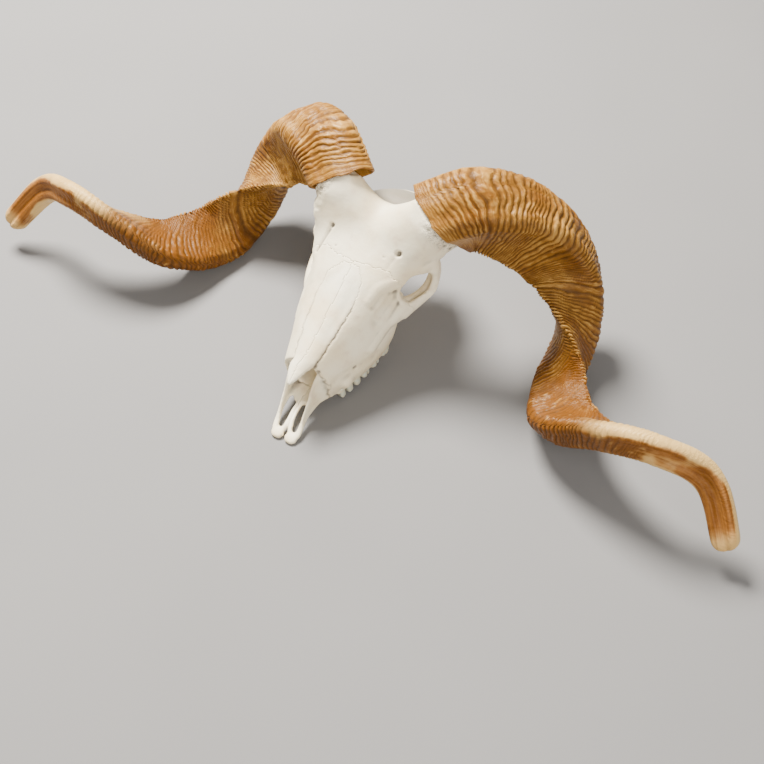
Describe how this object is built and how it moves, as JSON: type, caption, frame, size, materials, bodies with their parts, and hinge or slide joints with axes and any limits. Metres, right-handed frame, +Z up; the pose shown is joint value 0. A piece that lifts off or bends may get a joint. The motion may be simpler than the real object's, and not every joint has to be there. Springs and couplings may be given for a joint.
{
  "type": "ram skull with horns",
  "caption": "Life-size horned ram skull without lower jaw, resting on both horn coils and the tips of the nose.",
  "frame": {"origin": "the floor under the middle of the head's box, between the two horn coils", "axes": "+X the animal's left, +Y from the nose towards the nape, +Z up from the floor"},
  "size_m": [0.7848, 0.2854, 0.1895],
  "materials": {
    "bone": "dry bleached bone, matt",
    "pale_bone": "bleached bone, slightly smoother",
    "horn": "golden brown ridged horn, satin gloss",
    "horn_tip": "pale worn horn, satin"
  },
  "bodies": {
    "root": {"cranium": "bone", "maxilla_left": "bone", "maxilla_right": "bone", "nasal_left": "pale_bone", "nasal_right": "pale_bone", "premaxilla_left": "pale_bone", "premaxilla_right": "pale_bone", "zygomatic_left": "bone", "zygomatic_right": "bone", "horn_base_left": "horn", "horn_base_right": "horn", "horn_crown_left": "horn", "horn_crown_right": "horn", "horn_coil_left": "horn", "horn_coil_right": "horn", "horn_spread_left": "horn", "horn_spread_right": "horn", "horn_tip_left": "horn_tip", "horn_tip_right": "horn_tip"}
  },
  "joints": []
}
